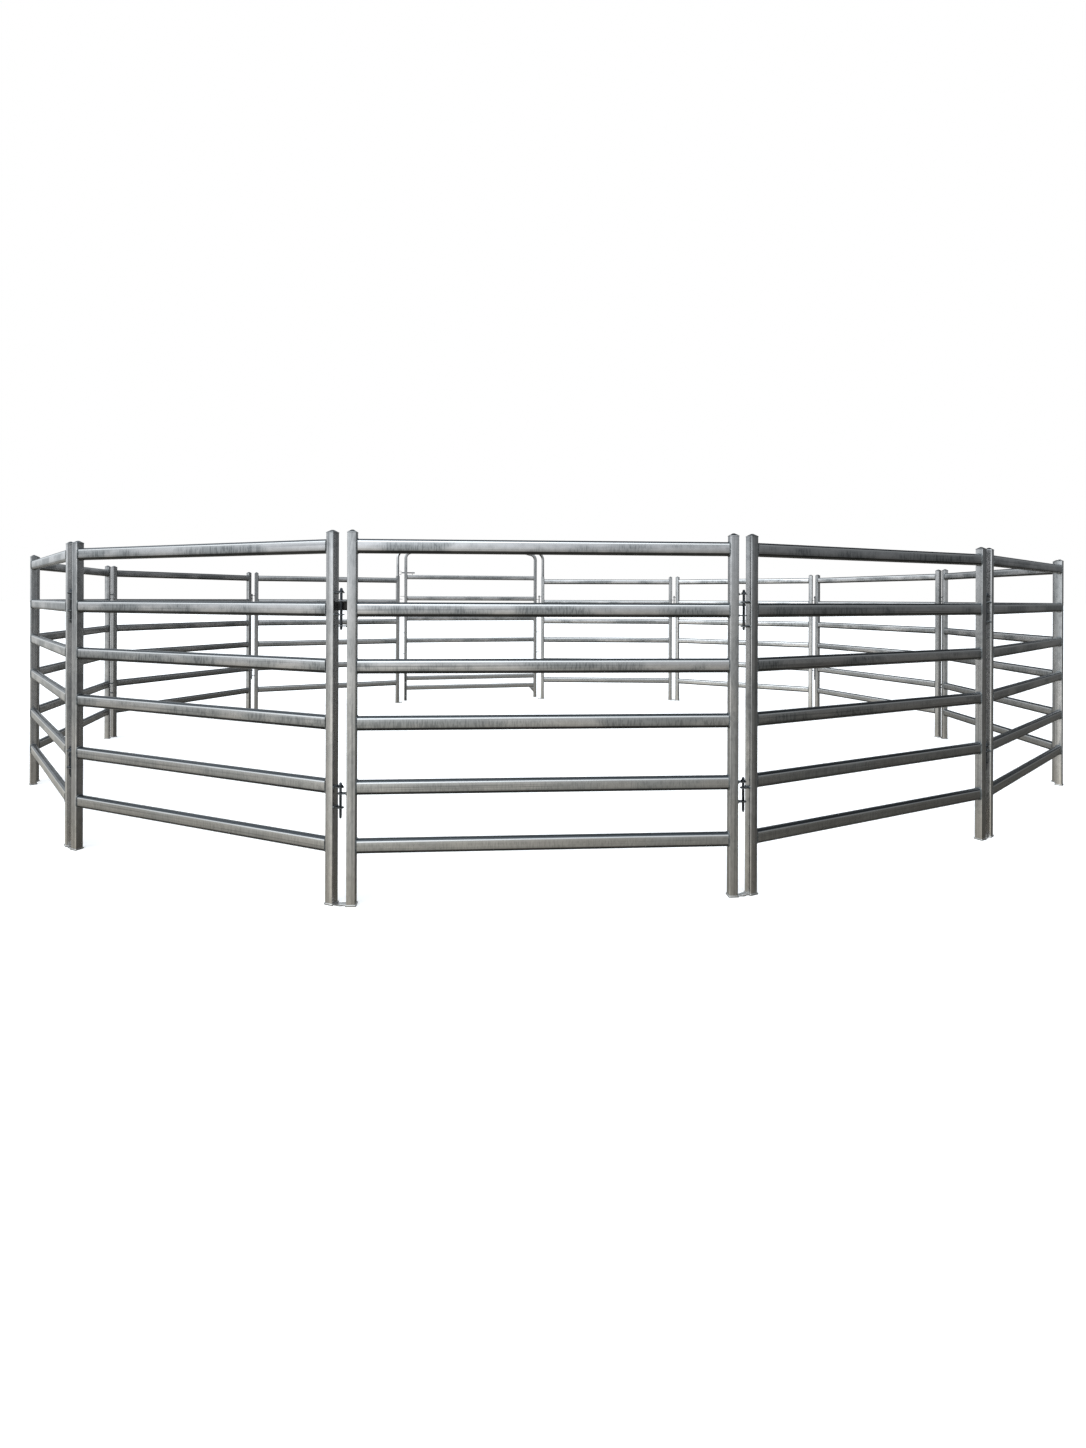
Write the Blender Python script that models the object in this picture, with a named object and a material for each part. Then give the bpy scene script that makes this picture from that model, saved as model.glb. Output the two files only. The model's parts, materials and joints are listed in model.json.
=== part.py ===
# Horse round pen: twelve railed panels pinned corner to corner, closed by a gate leaf that hangs
# under an overhead bow. Lengths are in metres and angles in degrees. +Z is up, and the origin is on
# the ground in the middle of the pen's bounding box.
# A panel's own frame starts at the pin axis of its A end, with +X to the pin axis of its B end and
# +Y into the pen. Going round the pen anticlockwise, the B end of each panel meets the next A end.

from math import acos, atan2, cos, degrees, pi, radians, sin

import bmesh
import bpy
from mathutils import Matrix, Vector

# The ring: distances between pin axes, and how far the fence turns at each corner as photographed.
PANEL_PITCH = 1.970
GATE_PITCH = 1.990
ROOT_PANEL = 7
RIGHT_PANELS = (6, 5, 4, 3, 2)
RIGHT_TURNS = (23.5, 16.5, 43.0, 23.5, 37.5)
LEFT_PANELS = (8, 9, 10, 11, 12)
LEFT_TURNS = (28.0, 26.0, 25.0, 38.5, 39.5)
HINGE_PANEL = 1
LATCH_PANEL = 12

# Posts of a panel: square tube with a pressed cap on top and a plate under the foot.
POST_SIZE = 0.045
POST_CORNER = 0.004
POST_FROM_AXIS = 0.053
POST_TOP = 1.786
FOOT_SIZE = 0.053
FOOT_HEIGHT = 0.008
CAP_SIZE = 0.047
CAP_BOTTOM = 1.784
CAP_LIP = 0.004
CAP_TOP = 1.800
CAP_TIP = 0.009
SOCKET_SIZE = 0.041
SOCKET_DEPTH = 0.120

# Rails of a panel: flattened tube, let 5 mm into the posts. One flat stands for each round corner.
RAIL_HEIGHT = 0.070
RAIL_DEPTH = 0.040
RAIL_CORNER = 0.010
RAIL_CENTRES = (0.283, 0.564, 0.871, 1.144, 1.417, 1.721)
LET_IN = 0.005

# Pin lugs of a panel, and the half-lapped tongues that join the feet on the ground.
LUG_THICKNESS = 0.005
LUG_RADIUS = 0.016
LUG_HOLE = 0.0078
LUGS_A = (1.458, 1.338, 0.536)
LUGS_B = (1.498, 1.392, 0.566, 0.468)
TONGUE_A = (0.0044, 0.0078)
TONGUE_B = (0.0006, 0.0040)
NOSE_STEPS = 3
HOLE_SIDES = 8

# Drop pins: a turned steel pin with a collar that rests on the top lug.
PIN_RADIUS = 0.0064
PIN_COLLAR = 0.012
PIN_COLLAR_HEIGHT = 0.006
PIN_NUB = 0.0078
PIN_NUB_TOP = 0.005
PIN_NUB_HEIGHT = 0.014
PIN_SIDES = 8
UPPER_PIN_LENGTH = 0.182
LOWER_PIN_LENGTH = 0.153
SEAT_GAP = 0.0003

# Gate leaf: one bent square tube for both stiles and the arch, with flattened rails between.
STILE_SIZE = 0.040
STILE_CORNER = 0.005
STILE_FROM_AXIS = 0.060
LEAF_BOTTOM = 0.030
LEAF_SPRING = 2.038
LEAF_SHOULDER = 0.080
LEAF_SLOPE = 14.0
LEAF_RAIL_HEIGHT = 0.060
LEAF_RAIL_DEPTH = 0.030
LEAF_RAIL_CORNER = 0.008
LEAF_RAILS = (0.207, 0.343, 0.560, 0.874, 1.185, 1.470, 1.770)
LEAF_LUG_RADIUS = 0.015
RING_HEIGHTS = (0.985, 0.690)
RING_RADIUS = 0.020
RING_HOLE = 0.0155
STUB_REACH = 0.020
GUSSET_SIZE = 0.070
GUSSET_THICKNESS = 0.006

# Overhead bow: round tube plugged into the post of panel 1, standing clear on the post of panel 12.
BOW_RADIUS = 0.019
BOW_SIDES = 10
BOW_SPRING = 2.040
BOW_SHOULDER = 0.105
BOW_SLOPE = 16.0
FREE_LEG_GAP = 0.001

# Latch: a round slide bolt on the leaf, and a keeper on the free leg of the bow.
BOLT_HEIGHT = 1.830
BOLT_RADIUS = 0.008
BOLT_HOLE = 0.0095
BOLT_LENGTH = 0.180
BOLT_TO_KEEPER = 0.007
BOLT_GUIDE = 0.150
BOLT_GUIDE_RADIUS = 0.015
PEG_RADIUS = 0.006
PEG_FROM_AXIS = 0.115
PEG_LENGTH = 0.070
KEEPER_FROM_AXIS = 0.003
KEEPER_WALL = 0.005
KEEPER_HEIGHT = 0.055
KEEPER_WIDTH = 0.028
KEEPER_HOLE = 0.010

# Drop bolt: a round bar with a bent handle, in two guides on the pen side of the latch stile.
DROP_RADIUS = 0.008
DROP_OUT = 0.034
DROP_BOTTOM = 0.030
DROP_HANDLE = 0.420
DROP_HANDLE_LENGTH = 0.085
DROP_BEND = 0.024
DROP_GUIDES = (0.100, 0.285)
DROP_GUIDE_RADIUS = 0.014

# Rubber buffer between the two front left posts, behind the pin.
BUFFER_NEAR = 0.009
BUFFER_FAR = 0.020
BUFFER_REACH = (0.028, 0.022)
BUFFER_HEIGHTS = (1.412, 1.453)
BUFFER_EDGE = 0.002

# Rounding of bends and corners.
SHOULDER_STEPS = 4
ARCH_STEPS = 6
SMOOTH_ANGLE = 50.0

ALONG_X = Matrix(((0, 0, 1, 0), (1, 0, 0, 0), (0, 1, 0, 0), (0, 0, 0, 1)))
ALONG_Y = Matrix(((1, 0, 0, 0), (0, 0, -1, 0), (0, 1, 0, 0), (0, 0, 0, 1)))


def clear_scene():
    for old in list(bpy.data.objects):
        bpy.data.objects.remove(old)


# Outlines, as lists of (x, y) points.


def rounded(width, height, corner):
    """A rectangle about the origin, with a flat across each corner."""
    points = []
    for right, up in ((1, -1), (1, 1), (-1, 1), (-1, -1)):
        side = (right * width / 2, up * (height / 2 - corner))
        end = (right * (width / 2 - corner), up * height / 2)
        points += [side, end] if right == up else [end, side]
    return points


def square(size):
    return [(right * size / 2, up * size / 2) for right, up in ((-1, -1), (1, -1), (1, 1), (-1, 1))]


def circle(radius, sides, centre=(0.0, 0.0)):
    """A regular outline, turned so that a flat and not a corner faces each axis."""
    angles = [(step + 0.5) * 2 * pi / sides for step in range(sides)]
    return [(centre[0] + radius * cos(a), centre[1] + radius * sin(a)) for a in angles]


def lug(radius, root):
    """A strap from x = root to the origin, ending in a round nose about the origin."""
    nose = [-pi / 2 + step * pi / NOSE_STEPS for step in range(NOSE_STEPS + 1)]
    arc = [(-radius * cos(a), radius * sin(a)) for a in nose]
    return [(root, -radius)] + arc + [(root, radius)]


def moved(outline, x, y=0.0, sign=1):
    """The outline with x and y added to it, facing the other way where sign is -1."""
    return [(x + sign * px, y + py) for px, py in outline]


# Solids, each as a helper object that a later union takes up.


def helper(form):
    """An object made of a bmesh, with its faces pointing out."""
    bmesh.ops.recalc_face_normals(form, faces=form.faces[:])
    mesh = bpy.data.meshes.new("helper")
    form.to_mesh(mesh)
    form.free()
    made = bpy.data.objects.new("helper", mesh)
    bpy.context.scene.collection.objects.link(made)
    return made


def drawn(outline, low, high, turn=None):
    """An outline drawn up from low to high, or along another axis by a turn."""
    form = bmesh.new()
    face = form.faces.new([form.verts.new((x, y, low)) for x, y in outline])
    raise_top(form, face, high - low, 1.0)
    if turn is not None:
        bmesh.ops.transform(form, matrix=turn, verts=form.verts[:])
    return helper(form)


def raise_top(form, face, rise, scale):
    """Extrudes a face upwards, scales the new one about its middle and returns it."""
    inside = len(face.edges[0].link_faces) > 1
    made = bmesh.ops.extrude_face_region(form, geom=[face])["geom"]
    if inside:
        bmesh.ops.delete(form, geom=[face], context="FACES_ONLY")
    corners = [item for item in made if isinstance(item, bmesh.types.BMVert)]
    top = [item for item in made if isinstance(item, bmesh.types.BMFace)][0]
    centre = top.calc_center_median()
    bmesh.ops.scale(form, vec=(scale, scale, 1), space=Matrix.Translation(-centre), verts=corners)
    bmesh.ops.translate(form, vec=(0, 0, rise), verts=corners)
    return top


def turned(profile, sides):
    """A round solid about an upright axis, through (height, radius) pairs from bottom to top."""
    form = bmesh.new()
    height, radius = profile[0]
    points = circle(radius, sides)
    top = form.faces.new([form.verts.new((x, y, height)) for x, y in points])
    for next_height, next_radius in profile[1:]:
        top = raise_top(form, top, next_height - height, next_radius / radius)
        height, radius = next_height, next_radius
    return helper(form)


def swept(path, outline):
    """An outline carried along a path of (x, z) points, mitred where the path bends."""
    form = bmesh.new()
    points = [Vector(point) for point in path]
    rings = []
    for index, point in enumerate(points):
        before = (point - points[index - 1]).normalized() if index else None
        after = (points[index + 1] - point).normalized() if index < len(points) - 1 else before
        before = before or after
        across = Vector((-(before + after).y, (before + after).x)).normalized()
        stretch = 1 / across.dot(Vector((-after.y, after.x)))
        corners = [(point + across * u * stretch, v) for u, v in outline]
        rings.append([form.verts.new((place.x, v, place.y)) for place, v in corners])
    for ring, following in zip(rings, rings[1:]):
        for index in range(len(ring)):
            last = index - 1
            form.faces.new((ring[last], ring[index], following[index], following[last]))
    form.faces.new(rings[0])
    form.faces.new(rings[-1])
    return helper(form)


def joined(name, solids, cutters=()):
    """One mesh: the union of the solids, less the cutters. The helpers are used up."""
    base = solids[0]
    for operation, others in (("UNION", solids[1:]), ("DIFFERENCE", cutters)):
        if others:
            group = bpy.data.collections.new(f"{name} {operation.lower()}")
            for other in others:
                group.objects.link(other)
            modifier = base.modifiers.new(operation.title(), "BOOLEAN")
            modifier.operation = operation
            modifier.solver = "EXACT"
            modifier.operand_type = "COLLECTION"
            modifier.collection = group
    bpy.context.view_layer.update()
    graph = bpy.context.evaluated_depsgraph_get()
    mesh = bpy.data.meshes.new_from_object(base.evaluated_get(graph))
    mesh.name = name
    mesh.shade_smooth()
    mesh.set_sharp_from_angle(angle=radians(SMOOTH_ANGLE))
    for used in [*solids, *cutters]:
        bpy.data.objects.remove(used)
    return mesh


# The pieces.


def hoop(first, last, spring, shoulder, slope, first_foot, last_foot):
    """A path up one leg, round a tight shoulder, over a shallow arch and down the other leg."""
    turn = radians(90 - slope)
    bend = [turn * step / SHOULDER_STEPS for step in range(SHOULDER_STEPS + 1)]
    rising = [(shoulder * (1 - cos(a)), spring + shoulder * sin(a)) for a in bend]
    reach, crown = rising[-1]
    half = (last - first) / 2
    arch_radius = (half - reach) / sin(radians(slope))
    arch_low = crown - arch_radius * cos(radians(slope))
    lean = [radians(slope) * (2 * step / ARCH_STEPS - 1) for step in range(1, ARCH_STEPS)]
    arch = [(half + arch_radius * sin(a), arch_low + arch_radius * cos(a)) for a in lean]
    falling = [(2 * half - x, z) for x, z in reversed(rising)]
    line = [(0.0, first_foot)] + rising + arch + falling + [(2 * half, last_foot)]
    return [(first + x, z) for x, z in line]


def cap(x):
    """A pressed post cap: a square lip with a low pyramid."""
    form = bmesh.new()
    corners = moved(square(CAP_SIZE), x)
    face = form.faces.new([form.verts.new((*corner, CAP_BOTTOM)) for corner in corners])
    face = raise_top(form, face, CAP_LIP, 1.0)
    raise_top(form, face, CAP_TOP - CAP_BOTTOM - CAP_LIP, CAP_TIP / CAP_SIZE)
    return helper(form)


def panel_mesh(name, open_a=False, open_b=False):
    """Two posts with six rails, the lugs and tongues of both ends, and a cap or an open socket."""
    post = rounded(POST_SIZE, POST_SIZE, POST_CORNER)
    foot = square(FOOT_SIZE)
    inner_face = POST_FROM_AXIS - POST_SIZE / 2
    lug_outline = lug(LUG_RADIUS, inner_face + LET_IN)
    rail = rounded(RAIL_DEPTH, RAIL_HEIGHT, RAIL_CORNER)
    rail_start = POST_FROM_AXIS + POST_SIZE / 2 - LET_IN
    solids = []
    cutters = []
    ends = ((0.0, 1, LUGS_A, TONGUE_A, open_a), (PANEL_PITCH, -1, LUGS_B, TONGUE_B, open_b))
    for axis, sign, lugs, tongue, open_top in ends:
        middle = axis + sign * POST_FROM_AXIS
        solids.append(drawn(moved(post, middle), FOOT_HEIGHT - LET_IN / 2, POST_TOP))
        solids.append(drawn(moved(foot, middle), 0.0, FOOT_HEIGHT))
        solids.append(drawn(moved(lug_outline, axis, sign=sign), *tongue))
        for height in lugs:
            low = height - LUG_THICKNESS / 2
            solids.append(drawn(moved(lug_outline, axis, sign=sign), low, low + LUG_THICKNESS))
        hole = circle(LUG_HOLE, HOLE_SIDES, (axis, 0.0))
        cutters.append(drawn(hole, min(lugs) - RAIL_HEIGHT, max(lugs) + RAIL_HEIGHT))
        if open_top:
            socket = rounded(SOCKET_SIZE, SOCKET_SIZE, POST_CORNER / 2)
            cutters.append(drawn(moved(socket, middle), POST_TOP - SOCKET_DEPTH, CAP_TOP))
        else:
            solids.append(cap(middle))
    for height in RAIL_CENTRES:
        outline = moved(rail, 0.0, height)
        solids.append(drawn(outline, rail_start, PANEL_PITCH - rail_start, ALONG_X))
    return joined(name, solids, cutters)


def pin_mesh(name, length):
    """A drop pin about its own axis, with the underside of its collar at height 0."""
    collar_top = PIN_COLLAR_HEIGHT
    nub_top = collar_top + PIN_NUB_HEIGHT
    profile = (
        (-length, PIN_RADIUS / 2),
        (-length + PIN_RADIUS, PIN_RADIUS),
        (0.0, PIN_RADIUS),
        (0.0, PIN_COLLAR),
        (collar_top, PIN_COLLAR),
        (collar_top, PIN_NUB),
        (nub_top, PIN_NUB_TOP),
    )
    return joined(name, [turned(profile, PIN_SIDES)])


def leaf_mesh(name):
    """The gate leaf, from the hinge axis at x = 0 to the latch axis at x = GATE_PITCH."""
    latch_stile = GATE_PITCH - STILE_FROM_AXIS
    inner = STILE_FROM_AXIS + STILE_SIZE / 2
    outer = STILE_FROM_AXIS - STILE_SIZE / 2
    tube = rounded(STILE_SIZE, STILE_SIZE, STILE_CORNER)
    path = hoop(
        STILE_FROM_AXIS, latch_stile, LEAF_SPRING, LEAF_SHOULDER, LEAF_SLOPE, LEAF_BOTTOM, LEAF_BOTTOM
    )
    solids = [swept(path, tube)]
    rail = rounded(LEAF_RAIL_DEPTH, LEAF_RAIL_HEIGHT, LEAF_RAIL_CORNER)
    for height in LEAF_RAILS:
        outline = moved(rail, 0.0, height)
        solids.append(drawn(outline, inner - LET_IN, GATE_PITCH - inner + LET_IN, ALONG_X))

    strap = lug(LEAF_LUG_RADIUS, outer + LET_IN)
    ring = lug(RING_RADIUS, outer + LET_IN)
    half = LUG_THICKNESS / 2
    for height in LUGS_A:
        solids.append(drawn(strap, height - half, height + half))
    for height in LUGS_B:
        outline = moved(strap, GATE_PITCH, sign=-1)
        solids.append(drawn(outline, height - half, height + half))
    stub_width = LEAF_LUG_RADIUS
    stub = [(STUB_REACH, -stub_width), (outer + LET_IN, -stub_width)]
    stub += [(outer + LET_IN, stub_width), (STUB_REACH, stub_width)]
    for height in RING_HEIGHTS:
        solids.append(drawn(ring, height - half, height + half))
        solids.append(drawn(moved(stub, GATE_PITCH, sign=-1), height - half, height + half))

    guide = lug(BOLT_GUIDE_RADIUS, LEAF_RAIL_HEIGHT / 2)
    guide = [(y, BOLT_HEIGHT - x) for x, y in guide]
    guide_at = GATE_PITCH - BOLT_GUIDE
    solids.append(drawn(guide, guide_at - half, guide_at + half, ALONG_X))
    drop_guide = lug(DROP_GUIDE_RADIUS, DROP_OUT - STILE_SIZE / 2 + LET_IN)
    drop_guide = [(latch_stile + y, DROP_OUT - x) for x, y in drop_guide]
    for height in DROP_GUIDES:
        solids.append(drawn(drop_guide, height - half, height + half))
    solids.append(gusset(inner))

    low, high = min(LUGS_B) - RAIL_HEIGHT, max(LUGS_B) + RAIL_HEIGHT
    cutters = [
        drawn(circle(LUG_HOLE, HOLE_SIDES), low, high),
        drawn(circle(LUG_HOLE, HOLE_SIDES, (GATE_PITCH, 0.0)), low, high),
        drawn(circle(RING_HOLE, HOLE_SIDES), RING_HEIGHTS[1] - LET_IN, RING_HEIGHTS[0] + LET_IN),
        drawn(
            circle(BOLT_HOLE, HOLE_SIDES, (0.0, BOLT_HEIGHT)),
            GATE_PITCH - BOLT_GUIDE - RAIL_HEIGHT,
            GATE_PITCH,
            ALONG_X,
        ),
        drawn(
            circle(BOLT_HOLE, HOLE_SIDES, (latch_stile, DROP_OUT)),
            DROP_GUIDES[0] - LET_IN,
            DROP_GUIDES[1] + LET_IN,
        ),
    ]
    return joined(name, solids, cutters)


def gusset(inner):
    """A plate in the corner under the bottom rail, on the hinge stile."""
    top = LEAF_RAILS[0] - LEAF_RAIL_HEIGHT / 2 + LET_IN
    low = top - LET_IN - GUSSET_SIZE
    corner = inner - LET_IN
    outline = [(corner, top), (corner, low), (inner, low), (inner + GUSSET_SIZE, top)]
    half = GUSSET_THICKNESS / 2
    return drawn(outline, -half, half, ALONG_Y)


def bow_mesh(name, span, latch_x, latch_y):
    """The bow about the plugged leg's axis, with the keeper on the free leg at x = span."""
    path = hoop(
        0.0,
        span,
        BOW_SPRING,
        BOW_SHOULDER,
        BOW_SLOPE,
        POST_TOP - SOCKET_DEPTH + SEAT_GAP,
        POST_TOP + FREE_LEG_GAP,
    )
    tube = swept(path, circle(BOW_RADIUS, BOW_SIDES))
    front = latch_x + KEEPER_FROM_AXIS
    low = BOLT_HEIGHT - KEEPER_HEIGHT / 2
    high = BOLT_HEIGHT + KEEPER_HEIGHT / 2
    wall = KEEPER_WALL
    channel = [
        (span, low),
        (front, low),
        (front, high),
        (span, high),
        (span, high - wall),
        (front + wall, high - wall),
        (front + wall, low + wall),
        (span, low + wall),
    ]
    side = -latch_y
    keeper = drawn(channel, side - KEEPER_WIDTH / 2, side + KEEPER_WIDTH / 2, ALONG_Y)
    hole = circle(KEEPER_HOLE, HOLE_SIDES, (latch_y, BOLT_HEIGHT))
    cutter = drawn(hole, front - LET_IN, front + 2 * wall, ALONG_X)
    return joined(name, [tube, keeper], [cutter])


def slide_bolt_mesh(name, tip):
    """The slide bolt along +X with its tip at x = tip, and its peg on the pen side."""
    bar = circle(BOLT_RADIUS, HOLE_SIDES, (0.0, BOLT_HEIGHT))
    peg = circle(PEG_RADIUS, HOLE_SIDES, (GATE_PITCH - PEG_FROM_AXIS, BOLT_HEIGHT))
    solids = [
        drawn(bar, tip - BOLT_LENGTH, tip, ALONG_X),
        drawn(peg, -PEG_LENGTH, 0.0, ALONG_Y),
    ]
    return joined(name, solids)


def drop_bolt_mesh(name):
    """The drop bolt about its own upright axis, its handle bent over towards the hinge side."""
    bend = [step * pi / 2 / SHOULDER_STEPS for step in range(SHOULDER_STEPS + 1)]
    level = DROP_HANDLE
    curve = [(-DROP_BEND * (1 - cos(a)), level - DROP_BEND * (1 - sin(a))) for a in bend]
    path = [(0.0, DROP_BOTTOM)] + curve + [(-DROP_HANDLE_LENGTH, level)]
    return joined(name, [swept(path, circle(DROP_RADIUS, HOLE_SIDES))])


def buffer_mesh(name):
    """The rubber block on the post of panel 8, about that panel's B axis, bevelled all round."""
    back = SEAT_GAP - POST_FROM_AXIS + POST_SIZE / 2
    near, far = BUFFER_REACH
    outline = [(back, BUFFER_NEAR), (near, BUFFER_NEAR), (far, BUFFER_FAR), (back, BUFFER_FAR)]
    block = drawn(outline, *BUFFER_HEIGHTS)
    rounding = block.modifiers.new("Edges", "BEVEL")
    rounding.width = BUFFER_EDGE
    rounding.segments = 1
    return joined(name, [block])


# The ring of corners, in a frame with the middle of the front panel at its origin.


def walk(start, heading, side, turns):
    """Corners reached from a corner by turning to one side before each panel, and the last heading."""
    corners = [start]
    for turn in turns:
        heading += side * radians(turn)
        corners.append(corners[-1] + PANEL_PITCH * Vector((cos(heading), sin(heading))))
    return corners, heading


def heading_of(start, end):
    return atan2((end - start).y, (end - start).x)


def ring():
    """The gate's two corners, and the turns at the corners that close the ring."""
    half = PANEL_PITCH / 2
    right, right_heading = walk(Vector((half, 0.0)), 0.0, 1, RIGHT_TURNS)
    left, _ = walk(Vector((-half, 0.0)), pi, -1, LEFT_TURNS)
    last, latch = right[-1], left[-1]
    span = latch - last
    lean = acos(
        (PANEL_PITCH**2 + span.length**2 - GATE_PITCH**2) / (2 * PANEL_PITCH * span.length)
    )
    heading = atan2(span.y, span.x) - lean
    hinge = last + PANEL_PITCH * Vector((cos(heading), sin(heading)))
    close = heading - right_heading
    gate_turn = heading_of(hinge, latch) - heading
    latch_heading = heading_of(latch, left[-2])
    return hinge, latch, heading, latch_heading, degrees(close), degrees(gate_turn) % 360


# The assembly.


def galvanised(name, shade, roughness):
    """Hot-dip galvanised steel: a mid grey metal that is neither bright nor smooth."""
    return surface(name, (shade, shade * 1.01, shade * 1.03, 1.0), roughness, 0.85)


def surface(name, colour, roughness, metallic):
    material = bpy.data.materials.new(name)
    material.use_nodes = True
    shader = material.node_tree.nodes["Principled BSDF"]
    shader.inputs["Base Color"].default_value = colour
    shader.inputs["Roughness"].default_value = roughness
    shader.inputs["Metallic"].default_value = metallic
    material.diffuse_color = colour
    return material


def put(name, mesh, material, parent=None, place=(0.0, 0.0, 0.0), turn=0.0):
    """A named piece at a place in its parent's frame, turned about the upright axis."""
    piece = bpy.data.objects.new(name, mesh)
    bpy.context.scene.collection.objects.link(piece)
    if not mesh.materials:
        mesh.materials.append(None)
    piece.material_slots[0].link = "OBJECT"
    piece.material_slots[0].material = material
    piece.parent = parent
    piece.location = place
    piece.rotation_euler = (0.0, 0.0, radians(turn))
    return piece


def pivot(name, parent, turn):
    """An empty on the pin axis at a panel's A end, for the panel that hangs there by its B end."""
    empty = bpy.data.objects.new(name, None)
    bpy.context.scene.collection.objects.link(empty)
    empty.parent = parent
    empty.rotation_euler = (0.0, 0.0, radians(turn))
    return empty


def build_panels(closing_turn):
    """All twelve panels, each hung on the one before it on its own side of the front panel."""
    standard = panel_mesh("panel")
    meshes = {
        HINGE_PANEL: panel_mesh("panel with a socket at its B end", open_b=True),
        LATCH_PANEL: panel_mesh("panel with a socket at its A end", open_a=True),
    }
    panels = {}

    def hang(number, parent, place, turn):
        name = f"panel_{number:02d}"
        steel = galvanised(f"{name} galvanised steel", 0.50, 0.45)
        mesh = meshes.get(number, standard)
        panels[number] = put(name, mesh, steel, parent, place, turn)

    hang(ROOT_PANEL, None, (-PANEL_PITCH / 2, 0.0, 0.0), 0.0)
    before = ROOT_PANEL
    right = zip((*RIGHT_PANELS, HINGE_PANEL), (*RIGHT_TURNS, closing_turn))
    for number, turn in right:
        hang(number, panels[before], (PANEL_PITCH, 0.0, 0.0), turn)
        before = number
    before = ROOT_PANEL
    for number, turn in zip(LEFT_PANELS, LEFT_TURNS):
        axis = pivot(f"pivot_{number:02d}", panels[before], -turn)
        hang(number, axis, (-PANEL_PITCH, 0.0, 0.0), 0.0)
        before = number
    return panels


def build_pins(panels):
    """An upper and a lower drop pin at the B end of every panel."""
    kinds = (
        ("upper", pin_mesh("upper drop pin", UPPER_PIN_LENGTH), LUGS_B[0]),
        ("lower", pin_mesh("lower drop pin", LOWER_PIN_LENGTH), LUGS_B[2]),
    )
    for kind, mesh, lug_height in kinds:
        seat = lug_height + LUG_THICKNESS / 2 + SEAT_GAP
        for number, panel in sorted(panels.items()):
            name = f"{kind}_pin_{number:02d}"
            steel = galvanised(f"{name} zinc-plated steel", 0.42, 0.35)
            put(name, mesh, steel, panel, (PANEL_PITCH, 0.0, seat))


def build_gateway(panels, corners):
    """The leaf, the bow and both bolts, all carried by the panel on the hinge side."""
    hinge, latch, heading, latch_heading, _, gate_turn = corners
    carrier = panels[HINGE_PANEL]
    steel = galvanised("gate_leaf galvanised steel", 0.48, 0.45)
    place = (PANEL_PITCH, 0.0, 0.0)
    leaf = put("gate_leaf", leaf_mesh("gate leaf"), steel, carrier, place, gate_turn)

    plugged = hinge - POST_FROM_AXIS * Vector((cos(heading), sin(heading)))
    free = latch + POST_FROM_AXIS * Vector((cos(latch_heading), sin(latch_heading)))
    direction = heading_of(plugged, free)
    latch_local = Matrix.Rotation(-direction, 2) @ (latch - plugged)
    span = (free - plugged).length
    mesh = bow_mesh("gate bow", span, latch_local.x, latch_local.y)
    steel = galvanised("gate_bow galvanised steel", 0.50, 0.42)
    place = (PANEL_PITCH - POST_FROM_AXIS, 0.0, 0.0)
    put("gate_bow", mesh, steel, carrier, place, degrees(direction - heading))

    tip = GATE_PITCH + KEEPER_FROM_AXIS - BOLT_TO_KEEPER
    steel = galvanised("slide_bolt zinc-plated steel", 0.40, 0.35)
    put("slide_bolt", slide_bolt_mesh("slide bolt", tip), steel, leaf)
    steel = galvanised("drop_bolt zinc-plated steel", 0.40, 0.35)
    place = (GATE_PITCH - STILE_FROM_AXIS, DROP_OUT, 0.0)
    put("drop_bolt", drop_bolt_mesh("drop bolt"), steel, leaf, place)


def centre_on_ground(root):
    """Moves the root panel, and all that hangs on it, so that the pen's box is centred."""
    bpy.context.view_layer.update()
    pieces = [piece for piece in bpy.data.objects if piece.type == "MESH"]
    xs = [(piece.matrix_world @ point.co).x for piece in pieces for point in piece.data.vertices]
    ys = [(piece.matrix_world @ point.co).y for piece in pieces for point in piece.data.vertices]
    root.location.x -= (min(xs) + max(xs)) / 2
    root.location.y -= (min(ys) + max(ys)) / 2
    print(f"pen {max(xs) - min(xs):.4f} m wide and {max(ys) - min(ys):.4f} m deep")


def main():
    clear_scene()
    corners = ring()
    panels = build_panels(corners[4])
    build_pins(panels)
    build_gateway(panels, corners)
    rubber = surface("rubber_buffer black rubber", (0.02, 0.02, 0.02, 1.0), 0.7, 0.0)
    place = (PANEL_PITCH, 0.0, 0.0)
    put("rubber_buffer", buffer_mesh("rubber buffer"), rubber, panels[LEFT_PANELS[0]], place)
    centre_on_ground(panels[ROOT_PANEL])


main()
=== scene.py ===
import json
from math import atan2, cos, pi, radians, sin

import bmesh
import bpy
from mathutils import Matrix, Vector


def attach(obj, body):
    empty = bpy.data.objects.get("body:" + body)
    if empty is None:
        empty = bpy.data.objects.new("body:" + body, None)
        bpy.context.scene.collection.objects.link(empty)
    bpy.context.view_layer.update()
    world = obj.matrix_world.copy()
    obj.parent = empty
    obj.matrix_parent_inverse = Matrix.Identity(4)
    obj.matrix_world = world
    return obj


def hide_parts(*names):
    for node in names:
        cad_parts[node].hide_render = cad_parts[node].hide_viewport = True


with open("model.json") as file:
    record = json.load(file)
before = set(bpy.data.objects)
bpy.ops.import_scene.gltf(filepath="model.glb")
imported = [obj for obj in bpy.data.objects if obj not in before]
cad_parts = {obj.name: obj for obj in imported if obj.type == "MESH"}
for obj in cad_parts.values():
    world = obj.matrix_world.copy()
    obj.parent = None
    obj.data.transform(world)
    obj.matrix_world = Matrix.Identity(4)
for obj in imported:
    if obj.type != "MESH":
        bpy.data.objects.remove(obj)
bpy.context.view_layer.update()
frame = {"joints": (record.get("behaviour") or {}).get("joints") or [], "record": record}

# Looks of a galvanised horse round pen, in metres. Each piece is modelled once about its own axis,
# copied, and moved onto its CAD node. Every copy has its own mesh.

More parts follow.
